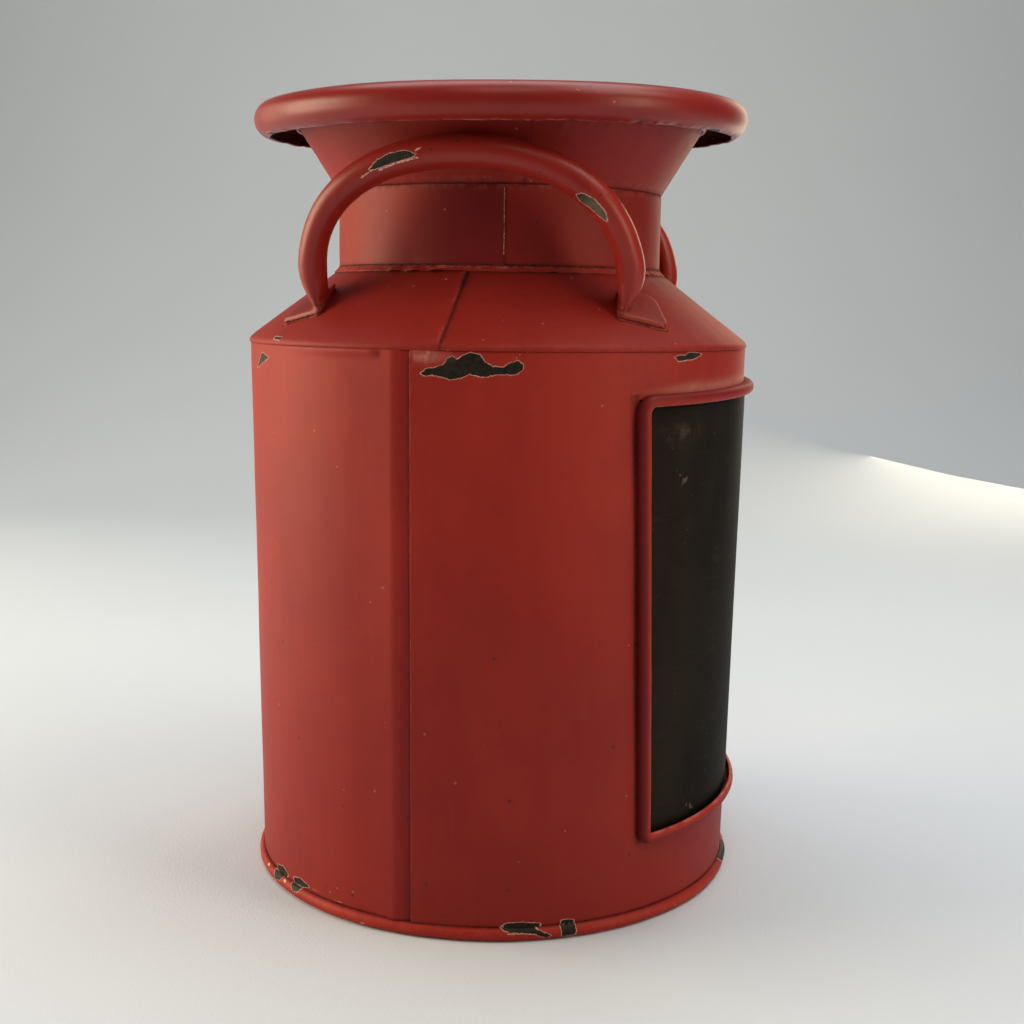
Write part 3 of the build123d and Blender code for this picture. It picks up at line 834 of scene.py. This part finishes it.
def make_flare():
    low, top = FLARE_LOW, FLARE_TOP
    outline = [(low[0] - 0.15, low[1] + 0.02), (low[0] + 0.1, low[1] + 0.1),
               (low[0] + 0.28, low[1] + 0.35)]
    outline += run((low[0] + 0.5, low[1] + 0.75), top, 26) + [top]
    inner_top, inner_low = (top[0] - 0.6, top[1]), (low[0] - 0.6, low[1] + 0.02)
    outline += run(inner_top, inner_low, 12) + [inner_low]
    angles = columns(1.0, (198.2, 7.0, 0.4), (221.0, 16.0, 0.5), extra=lap_columns(FLARE_SEAM))
    return revolved("flare_shell", outline, angles, flare_shape, flare_marks)


# ---- rim

def rim_shape(az, r, z):
    turn = np.degrees(np.arctan2(z - RIM_Z, r - RIM_R))
    low = (turn < -40) & (turn > -100) & (np.hypot(r - RIM_R, z - RIM_Z) > 5.6)
    ragged = 0.35 * ripple(az, 0 * z, 14.0, 71) + 0.22 * ripple(az, 0 * z, 4.5, 72)
    ragged = ragged * (1 + 1.1 * ridge(away(az, 222.0), 0, 18.0))
    share = unit((-turn - 55.0) / 27.0) * low
    r = r - share * ragged
    z = z + share * 0.4 * ragged
    waves = 0.09 * ripple(az, 0 * z, 60.0, 73)
    return r + waves, z + 0.14 * ripple(az, 0 * z, 90.0, 74) + lean(az, r, z)


def rim_marks(az, r, z):
    z = z - lean(az, r, z)
    turn = np.degrees(np.arctan2(z - RIM_Z, r - RIM_R))
    span = np.hypot(r - RIM_R, z - RIM_Z)
    outer = span > CURL - 0.4
    curl_back = outer & (turn < -50)
    lip = np.where(curl_back, ridge(turn, -80, 7.0), 0.0)
    # inside the curl: painted shade over partly bare sheet
    hollow = (span < CURL - 0.4) & (r > 84.5)
    unrolled = turn / 57.3 * CURL
    chips = [
        [(118.0, -7.9), (124.0, -7.4), (127.0, -9.6), (119.0, -9.6)],
        [(244.0, -8.2), (250.0, -7.6), (253.0, -9.6), (245.0, -9.6)],
        [(86.0, 1.0), (89.0, 1.9), (90.0, 0.6), (87.5, 0.0)],
        [(321.0, 3.2), (324.6, 4.2), (325.4, 2.6), (322.0, 2.2)],
    ]
    scrapes = [
        (0.10, [(205.6, 3.6), (207.8, 2.2)]), (0.10, [(206.6, 4.2), (208.4, 2.6)]),
        (0.30, [(177.6, 0.6), (178.0, 0.5)]), (0.24, [(183.9, -3.2), (184.2, -3.2)]),
    ]
    chip = flaked(outer, az, unrolled, chips, 97.0)
    pale = scratched(outer, az, unrolled, scrapes, 97.0)
    return {
        "chip": chip, "pale": pale, "rub": unit(lip),
        "grime": np.where(hollow, 1.0, unit(lip * 0.2)),
        "bare": np.where(hollow, 0.5, 0.0),
        "deep": np.where(hollow, 0.0, 0.50),
    }


def make_rim():
    inner = CURL - SHEET
    outline = arc((RIM_R, RIM_Z), CURL, 148, -79, 46)
    outline += arc((RIM_R + (CURL - 0.35) * math.cos(math.radians(-80)),
                    RIM_Z + (CURL - 0.35) * math.sin(math.radians(-80))), 0.35, -100, -240, 4)
    outline += arc((RIM_R, RIM_Z), inner, -79, 148, 26)
    # the strip's root runs 7 mm down over the flare's edge
    back = 7 * (FLARE_TOP[0] - FLARE_LOW[0]) / (FLARE_TOP[1] - FLARE_LOW[1])
    (in_r, in_z), (out_r, out_z) = outline[-1], outline[0]
    outline += run((in_r - 0.4, in_z - 0.9), (in_r - back, in_z - 7.0), 6)
    outline += [(in_r - back, in_z - 7.0), (out_r - back - 0.1, out_z - 7.1)]
    outline += run((out_r - back, out_z - 6.8), (out_r - 0.3, out_z - 0.8), 7)
    angles = columns(0.9, (222.0, 26.0, 0.45), (121.0, 8.0, 0.5))
    return revolved("rim_curl", outline, angles, rim_shape, rim_marks)


# ---- handles

def handle_stations():
    """Centre, direction and half sizes of the tube from one foot to the other."""
    half = [(y, z, 80.0, t, w) for y, z, t, w in
            ((55.6, 225.8, 1.2, 7.6), (56.4, 229.6, 2.0, 7.5), (57.5, 233.4, 3.8, 6.8))]
    for turn in (0, 15, 30, 45, 60, 75):
        a = math.radians(turn)
        y = HANDLE_SPAN * math.cos(a) ** 0.92
        z = HANDLE_SPRING + HANDLE_RISE * math.sin(a) ** 0.92
        slope = 90 + math.degrees(math.atan2(HANDLE_SPAN * math.sin(a), HANDLE_RISE * math.cos(a)))
        half.append((y, z, slope, 4.9 + 1.1 * turn / 90, 6.2 - 0.2 * turn / 90))
    back = [(-y, z, 360.0 - s, t, w) for y, z, s, t, w in reversed(half)]
    return half + [(0.0, HANDLE_SPRING + HANDLE_RISE, 180.0, 6.0, 6.0)] + back


def smooth_stations(stations, count):
    """The same stations, resampled evenly along a smooth curve through them."""
    pts = np.array(stations, float)
    gaps = np.hypot(np.diff(pts[:, 0]), np.diff(pts[:, 1]))
    at = np.concatenate([[0], np.cumsum(gaps)])
    slopes = np.gradient(pts, at, axis=0)
    out = []
    for w in np.linspace(0, at[-1], count):
        i = min(int(np.searchsorted(at, w, side="right")) - 1, len(at) - 2)
        h = at[i + 1] - at[i]
        a, b, c, d = hermite((w - at[i]) / h)
        out.append(a * pts[i] + b * h * slopes[i] + c * pts[i + 1] + d * h * slopes[i + 1])
    return np.array(out)


def tube_mesh(stations, sides=40):
    """Closed tube through the stations, as flat as each one says."""
    rings = []
    for y, z, slope, thick, wide in stations:
        up = (z - HANDLE_FOOT_Z) / math.cos(HANDLE_LEAN)
        centre = np.array([HANDLE_FOOT_R, y, HANDLE_FOOT_Z]) + HANDLE_UP * up
        slope = math.radians(slope)
        along = np.array([0, 1, 0]) * math.cos(slope) + HANDLE_UP * math.sin(slope)
        side = np.cross(along, HANDLE_OUT)
        for k in range(sides):
            a = 2 * math.pi * k / sides
            rings.append(centre + HANDLE_OUT * wide * math.cos(a) + side * thick * math.sin(a))
    last = (len(stations) - 1) * sides
    faces = [face for i in range(0, last, sides) for face in band(i, i + sides, sides)]
    return rings, faces + [tuple(range(sides)), tuple(last + k for k in reversed(range(sides)))]


def rounded_outline(corners, radii, per=6):
    """Polygon corners replaced by arcs; radii has one radius for each corner."""
    out = []
    n = len(corners)
    for i, radius in enumerate(radii):
        p0, p1, p2 = (np.array(corners[(i + k - 1) % n], float) for k in range(3))
        a, b = (p0 - p1) / np.linalg.norm(p0 - p1), (p2 - p1) / np.linalg.norm(p2 - p1)
        half = math.acos(float(np.clip(a @ b, -1, 1))) / 2
        reach = radius / math.tan(half)
        start, end = p1 + a * reach, p1 + b * reach
        for k in range(per + 1):
            t = k / per
            out.append((1 - t) ** 2 * start + 2 * t * (1 - t) * p1 + t * t * end)
    return out


def on_shoulder(x, y, level):
    return np.array([x, y, shoulder_z(math.hypot(x, y)) + level])


def tab_mesh(end, low, high):
    """Flat plate that follows the shoulder's cone, low and high above it."""
    ring = rounded_outline([(x, end * y) for x, y in TAB_CORNERS], TAB_RADII)
    centre = np.mean(ring, axis=0)
    points = [centre + (p - centre) * share for share in (1.0, 0.66, 0.33) for p in ring]
    points.append(centre)
    n, layer = len(ring), len(points)
    faces = []
    for base in (0, layer):
        faces += band(base, base + n, n) + band(base + n, base + 2 * n, n)
        faces += [(base + 2 * n + k, base + 2 * n + (k + 1) % n, base + 3 * n) for k in range(n)]
    faces += band(0, layer, n)
    return [on_shoulder(x, y, level) for level in (low, high) for x, y in points], faces


def fused(name, parts, voxel, smoothing):
    """Joins closed meshes into one skin with softened inner corners."""
    verts, faces = [], []
    for v, f in parts:
        faces += [tuple(len(verts) + i for i in face) for face in f]
        verts += list(v)
    obj = new_object(name, np.array(verts), faces)
    loose = obj.data
    remesh = obj.modifiers.new("skin", "REMESH")
    remesh.mode = "VOXEL"
    remesh.voxel_size = voxel * MM
    soften = obj.modifiers.new("soften", "SMOOTH")
    soften.factor = 0.5
    soften.iterations = smoothing
    depsgraph = bpy.context.evaluated_depsgraph_get()
    made = bpy.data.meshes.new_from_object(obj.evaluated_get(depsgraph))
    obj.modifiers.clear()
    obj.data = made
    bpy.data.meshes.remove(loose)
    made.name = name
    return obj


def points_of(mesh):
    """A mesh's points, in mm."""
    co = np.zeros(len(mesh.vertices) * 3)
    mesh.vertices.foreach_get("co", co)
    return co.reshape(-1, 3) / MM


def turn_to(mesh, co, at):
    """Gives a mesh its points, in mm, turned at degrees about the can's axis."""
    c, s = math.cos(math.radians(at)), math.sin(math.radians(at))
    x, y = co[:, 0] * c - co[:, 1] * s, co[:, 0] * s + co[:, 1] * c
    mesh.vertices.foreach_set("co", (np.stack([x, y, co[:, 2]], -1) * MM).reshape(-1))
    mesh.update()
    mesh.shade_smooth()


def on_handle(co):
    """Where points are on a handle: degrees along its arch, mm round its tube, mm outwards."""
    rel = co - np.array([HANDLE_FOOT_R, 0, HANDLE_FOOT_Z])
    outwards, up, y = rel @ HANDLE_OUT, rel @ HANDLE_UP, rel[:, 1]
    spring = (HANDLE_SPRING - HANDLE_FOOT_Z) / math.cos(HANDLE_LEAN)
    high = HANDLE_RISE / math.cos(HANDLE_LEAN)
    turn = np.arctan2((up - spring) / high, y / HANDLE_SPAN)
    over = np.hypot(y, up - spring) - np.hypot(HANDLE_SPAN * np.cos(turn), high * np.sin(turn))
    return np.degrees(turn) * 0.95, np.degrees(np.arctan2(over, outwards)) / 57.3 * 6.0, outwards


def make_handle(side, at):
    low, high = 0.62, 2.85
    tube = tube_mesh(smooth_stations(handle_stations(), 72))
    parts = [tube, tab_mesh(1, low, high), tab_mesh(-1, low, high)]
    obj = fused(side + "_handle_tube", parts, 0.55, 5)
    co = points_of(obj.data)
    r, y = np.hypot(co[:, 0], co[:, 1]), np.abs(co[:, 1])
    floor = shoulder_z(r) + 0.55
    co[:, 2] = np.where((co[:, 2] < floor) & (r > 66), floor, co[:, 2])
    along, across, outwards = on_handle(co)
    seen = outwards > -2.0
    chip, pale = np.full(len(co), FAR), np.full(len(co), FAR)
    for outline in HANDLE_CHIPS[side]:
        chip = np.where(seen, np.minimum(chip, polygon_distance(along, across, outline)), FAR)
    for points in HANDLE_SCRATCHES[side]:
        pale = np.where(seen, np.minimum(pale, line_distance(along, across, points) - 0.30), FAR)
    above = co[:, 2] - shoulder_z(r)
    # painted shade where the feet meet the shoulder and in the crease above them, along with solder
    gap = unit(1 - (above - 0.5) / 1.1) * (y > 50)
    crease = ridge(above, 3.4, 1.0) * (y > 50) * 0.45
    # the near handle's second chip is olive
    olive = np.where(chip < 0.35, unit((43.0 - along) / 6.0) * (side == "left"), 0.0)
    add_marks(obj.data, {"chip": chip, "pale": pale, "grime": unit(gap + crease), "dust": olive,
                         "deep": np.where(y < 45, 0.50, 0.30)})
    turn_to(obj.data, co, at)
    return obj


def make_handle_solder(side, at):
    """Uneven solder squeezed out round the feet."""
    r = np.random.default_rng(81 if side == "left" else 82)
    parts = []
    for end in (1, -1):
        parts.append(tab_mesh(end, -0.25, 0.75))
        ring = rounded_outline([(x, end * y) for x, y in TAB_CORNERS], TAB_RADII, 3)
        middle = np.mean(ring, axis=0)
        for p in ring[::2]:
            x, y = middle + (p - middle) * r.uniform(0.90, 0.99)
            size = r.uniform(0.7, 1.25)
            parts.append(blob(on_shoulder(x, y, 0.1), size, size * 0.6))
    obj = fused(side + "_handle_solder_pads", parts, 0.4, 4)
    co = points_of(obj.data)
    add_marks(obj.data, {"grime": np.full(len(co), 0.75), "rub": np.full(len(co), 0.2)})
    turn_to(obj.data, co, at)
    return obj


def blob(centre, wide, tall, sides=14, rows=8):
    verts, faces = [], []
    for j in range(rows + 1):
        t = math.pi * j / rows
        for k in range(sides):
            a = 2 * math.pi * k / sides
            out = wide * math.sin(t)
            verts.append(centre + [out * math.cos(a), out * math.sin(a), tall * math.cos(t)])
    for j in range(rows):
        faces += band(j * sides, (j + 1) * sides, sides)
    return verts, faces


# ---- frame and board

def on_front(across, z, lift):
    """A point on the can's front: across is measured round the wall, lift square to it."""
    x, up = FRONT_R * np.sin(across / FRONT_R), z - FRAME_MIDDLE
    c, s = math.cos(FRAME_TURN), math.sin(FRAME_TURN)
    x, height = x * c - up * s, FRAME_MIDDLE + (x * s + up * c)
    r = body_r(height) + lift
    x = x * r / FRONT_R
    return np.stack([x, -np.sqrt(np.maximum(r * r - x * x, 1.0)), height], -1)


def frame_path(inset, per=9, between=34):
    """Rounded rectangle inside the frame's outline, with a fixed number of points."""
    half = FRAME_SIDE - inset
    low, high = FRAME_LOW + inset, FRAME_HIGH - inset
    top, foot = max(6.5 - inset, 0.5), max(4.5 - inset, 0.4)
    bends = [
        arc((half - top, high - top), top, 0.0, 90.0, per),
        arc((top - half, high - top), top, 90.0, 180.0, per),
        arc((foot - half, low + foot), foot, 180.0, 270.0, per),
        arc((half - foot, low + foot), foot, 270.0, 360.0, per),
    ]
    pts = []
    for bend, following in zip(bends, bends[1:] + bends[:1]):
        pts += bend + run(bend[-1], following[0], between)[1:]
    return np.array(pts)


# (inset from the frame's outer edge, height off the wall) round the channel
CHANNEL = [
    (0.0, 0.0), (0.0, 1.0), (0.0, 1.9), (0.09, 2.45), (0.33, 3.0), (0.72, 3.47), (1.2, 3.8),
    (1.7, 3.96), (2.3, 4.0), (2.9, 3.93), (3.4, 3.74), (3.8, 3.42), (4.02, 3.0), (4.1, 2.55),
    (4.0, 2.28), (3.8, 2.2), (2.8, 2.2), (1.7, 2.2), (1.4, 2.1), (1.3, 1.8), (1.3, 1.0), (1.3, 0.0),
]


def make_frame():
    loops = [frame_path(inset) for inset, _ in CHANNEL]
    count, n = len(loops[0]), len(CHANNEL)
    az = np.arange(count) / count * 2 * math.pi
    # the channel was bent by hand
    wave = 0.10 * np.sin(az * 7 + 1.3) + 0.06 * np.sin(az * 19 + 0.4)
    verts = []
    for loop, (_, lift) in zip(loops, CHANNEL):
        hand = wave * min(1.0, lift / 2.0)
        sunk = 0.02 if lift == 0 else 0
        verts.append(on_front(loop[:, 0] + 0.10 * hand, loop[:, 1] + 0.15 * hand,
                              lift + hand * 0.6 - sunk))
    faces = [face for j in range(n) for face in band(j * count, ((j + 1) % n) * count, count)]
    inset, lift = np.repeat(np.array(CHANNEL), count, axis=0).T
    # painted highlight on the inner lip; painted shade on the outer wall and crown and inside the
    # channel, and painted shadow along the wall
    lip = ridge(inset, 4.0, 0.35) * (lift > 2.3)
    crown = ridge(inset, 1.2, 0.8) * (lift > 3.0)
    root = unit(1 - lift / 0.9)
    hidden = (lift < 2.25) & (inset > 1.25)
    marks = {
        "rub": lip * 0.60, "deep": unit(1.0 - (inset - 1.2) / 2.4) * 0.80,
        "grime": np.where(hidden, 1.0, unit(root * 1.1 + crown * 0.12)),
    }
    return finish_mesh("board_frame", np.concatenate(verts), faces, marks, sharp=60.0)


def make_board():
    cols, rows = 90, 100
    half = FRAME_SIDE - FRAME_LEG - 0.15
    low, high = FRAME_LOW + FRAME_LEG + 0.15, FRAME_HIGH - FRAME_LEG - 0.15
    u = np.linspace(-half, half, cols)
    v = np.linspace(low, high, rows)
    uu, vv = np.meshgrid(u, v, indexing="ij")
    dent = 0.12 * np.sin(uu / 17.0 + 0.6) * np.cos(vv / 29.0)
    dent = dent + 0.05 * np.sin(uu / 6.0) * np.sin(vv / 8.0 + 1)
    top = on_front(uu, vv, 0.62 + dent * 0.6)
    low_side = on_front(uu, vv, 0.05 + dent * 0.2)
    n = cols * rows
    verts = np.concatenate([top.reshape(-1, 3), low_side.reshape(-1, 3)])
    faces = []
    for i in range(cols - 1):
        for j in range(rows - 1):
            a, b, c, d = i * rows + j, (i + 1) * rows + j, (i + 1) * rows + j + 1, i * rows + j + 1
            faces.append((a, b, c, d))
            faces.append((n + d, n + c, n + b, n + a))
    ring = [i * rows for i in range(cols)] + [(cols - 1) * rows + j for j in range(1, rows)]
    ring += [i * rows + rows - 1 for i in range(cols - 2, -1, -1)] + list(range(rows - 2, 0, -1))
    for a, b in zip(ring, ring[1:] + ring[:1]):
        faces.append((b, a, n + a, n + b))
    # painted shade on the board near the frame, under its lip
    gap = np.minimum(np.minimum(uu + half, half - uu), np.minimum(vv - low, high - vv))
    grime = np.exp(-(np.clip(gap - 2.9, 0, 50) / 1.2) ** 2) * 0.9
    chalk = np.full(uu.shape, FAR)
    for points in (
        [(-66.0, 174.0), (-60.5, 168.0), (-57.5, 164.5)], [(-63.0, 166.0), (-58.0, 170.0)],
        [(-59.0, 46.0), (-50.0, 40.0)], [(-57.0, 42.5), (-49.0, 38.0)],
        [(-20.0, 120.0), (-12.0, 126.0)], [(18.0, 92.0), (27.0, 88.0)],
        [(40.0, 150.0), (44.0, 161.0)],
    ):
        chalk = np.minimum(chalk, line_distance(uu, vv, points) - 0.35)
    smear = np.exp(-((uu + 62.0) / 8.0) ** 2 - ((vv - 186.0) / 3.2) ** 2)
    smear = smear + 0.5 * np.exp(-((uu - 20.0) / 18.0) ** 2 - ((vv - 110.0) / 9.0) ** 2)
    marks = {k: np.concatenate([m.reshape(-1), np.full(n, FAR if k == "pale" else 0.0)])
             for k, m in (("grime", grime), ("pale", chalk), ("rub", smear))}
    return finish_mesh("board_panel", verts, faces, marks, sharp=60.0)


# ---- the can

for make, material, node in (
    (make_body, RED, "body_wall"), (make_base, RED, "base_pan"),
    (make_shoulder, RED, "shoulder_cone"), (make_neck, RED, "neck_band"),
    (make_neck_solder, RED, "neck_solder_seam"), (make_flare, RED, "flare_cone"),
    (make_rim, SMOOTH_RED, "rim_roll"),
):
    place(make(), material, node)
for side, at in HANDLES.items():
    place(make_handle(side, at), SMOOTH_RED, side + "_handle")
    place(make_handle_solder(side, at), RED, side + "_handle_solder")
place(make_frame(), RED, "panel_frame")
place(make_board(), BOARD, "chalkboard_panel")


# ---- floor, light, camera

def stage_material():
    n = Nodes("studio_paper")
    tone = n.noise(3.0, 2.0, 0.5)
    colour = n.mix(tone, (0.56, 0.63, 0.71), (0.60, 0.67, 0.75))
    return n.finish(colour, 0.9, n.noise(900.0, 2.0), Specular_IOR_Level=0.1)


def make_stage():
    """Paper sweep: a floor that curves up well behind the can."""
    size, back, bend = 3.0, 1.6, 0.7
    profile = [(-size, 0.0)] + [(x, 0.0) for x in np.linspace(-1.0, back - bend, 12)]
    for k in range(1, 17):
        a = math.radians(90.0 * k / 16)
        profile.append((back - bend + bend * math.sin(a), bend - bend * math.cos(a)))
    profile.append((back, 3.0))
    verts, faces = [], []
    for d, h in profile:
        for s in (-size, size):
            verts.append((d, s, h))
    for i in range(len(profile) - 1):
        faces.append((2 * i, 2 * i + 1, 2 * i + 3, 2 * i + 2))
    mesh = bpy.data.meshes.new("paper_sweep")
    mesh.from_pydata(verts, [], faces)
    mesh.shade_smooth()
    obj = link("paper_sweep", mesh)
    obj.rotation_euler = (0, 0, math.radians(VIEW_AZ - 180.0))
    mesh.materials.append(stage_material())


def softbox(name, az, height, distance, size, power, colour=(1, 1, 1), aim=0.15):
    """A lamp of size (wide, tall) at az degrees from the camera's direction, aimed at the can."""
    a = math.radians(VIEW_AZ + az)
    light = bpy.data.lights.new(name, "AREA")
    light.shape = "RECTANGLE"
    light.size, light.size_y = size
    light.energy = power
    light.color = colour
    obj = link(name, light)
    obj.location = (distance * math.cos(a), distance * math.sin(a), height)
    target = Vector((0, 0, aim))
    obj.rotation_euler = (target - obj.location).to_track_quat("-Z", "Y").to_euler()
    obj.visible_camera = False


def make_lights():
    warm, cool = (1.0, 0.83, 0.58), (1.0, 0.87, 0.76)
    for name, az, power, colour in (
        ("left_front_strip", -68, 2.4, warm), ("left_back_strip", -125, 1.8, warm),
        ("right_softbox", 60, 6.6, warm), ("right_back_strip", 150, 2.8, warm),
    ):
        softbox(name, az, 0.30, 1.2, (0.34, 1.0), power, colour)
    softbox("left_softbox", -92, 0.42, 1.2, (0.75, 0.9), 18.0, warm, aim=0.19)
    softbox("top_right_softbox", 70, 1.3, 0.75, (0.7, 0.7), 7.4, cool)
    softbox("top_front_softbox", 0, 1.3, 0.75, (0.5, 0.5), 2.6, cool)
    softbox("paper_wash", 180, 1.7, 0.35, (1.6, 0.8), 16.0, aim=1.0)
    world = bpy.data.worlds.new("studio")
    bpy.context.scene.world = world
    world.use_nodes = True
    tree = world.node_tree
    fill = tree.nodes["Background"]
    fill.inputs[0].default_value = (1.0, 1.0, 1.0, 1.0)
    fill.inputs[1].default_value = 0.06
    # past the edge of the floor the eye meets the same pale tone
    pale = tree.nodes.new("ShaderNodeBackground")
    pale.inputs[0].default_value = (0.80, 0.82, 0.84, 1.0)
    pale.inputs[1].default_value = 0.8
    choose = tree.nodes.new("ShaderNodeMixShader")
    tree.links.new(tree.nodes.new("ShaderNodeLightPath").outputs["Is Camera Ray"], choose.inputs[0])
    tree.links.new(fill.outputs[0], choose.inputs[1])
    tree.links.new(pale.outputs[0], choose.inputs[2])
    tree.links.new(choose.outputs[0], tree.nodes["World Output"].inputs["Surface"])


def make_camera():
    """At the photograph's viewing angle, a little above the can's shoulder."""
    data = bpy.data.cameras.new("camera")
    data.lens, data.sensor_width, data.clip_start = CAMERA_LENS, 36.0, 0.01
    camera = link("camera", data)
    forward = Vector(CAMERA_FORWARD).normalized()
    level = forward.cross(Vector((0, 0, 1))).normalized()
    over = level.cross(forward)
    right = level * math.cos(CAMERA_ROLL) + over * math.sin(CAMERA_ROLL)
    up = over * math.cos(CAMERA_ROLL) - level * math.sin(CAMERA_ROLL)
    turn = Matrix((right, up, -forward)).transposed().to_4x4()
    camera.matrix_world = Matrix.Translation(CAMERA_AT) @ turn
    bpy.context.scene.camera = camera


make_stage()
make_lights()
make_camera()
bpy.context.scene.view_settings.view_transform = "Standard"
